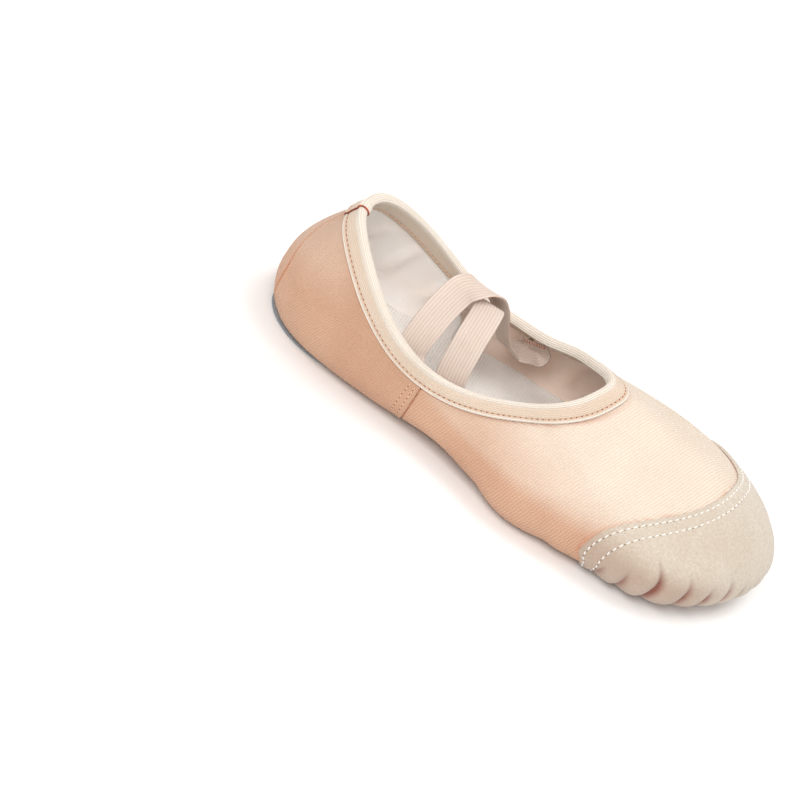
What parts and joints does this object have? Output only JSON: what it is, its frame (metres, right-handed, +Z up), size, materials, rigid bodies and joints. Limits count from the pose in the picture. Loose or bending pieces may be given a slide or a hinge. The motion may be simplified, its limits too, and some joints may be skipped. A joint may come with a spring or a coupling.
{
  "type": "soft-sole dance shoe",
  "caption": "Canvas split-sole dance slipper with a pleated suede toe cap, suede sole patches, taped collar and crossed elastic straps.",
  "frame": {"origin": "on the floor under the middle of the shoe's bounding box, with the sole patches on z = 0", "axes": "+X from heel to toe, +Y to the wearer's left, +Z up"},
  "size_m": [0.237, 0.0984, 0.0632],
  "materials": {
    "canvas": "matte plain-weave cotton canvas",
    "cap_suede": "matte suede",
    "tape": "matte woven tape",
    "sole_suede": "matte split suede",
    "heel_suede": "matte split suede",
    "insole_felt": "matte dotted felt",
    "elastic": "ribbed elastic, slight sheen"
  },
  "bodies": {
    "root": {"upper": "canvas", "toe_cap": "cap_suede", "collar_tape": "tape", "front_sole_patch": "sole_suede", "heel_sole_patch": "heel_suede", "insole": "insole_felt", "front_strap": "elastic", "rear_strap": "elastic"}
  },
  "joints": []
}
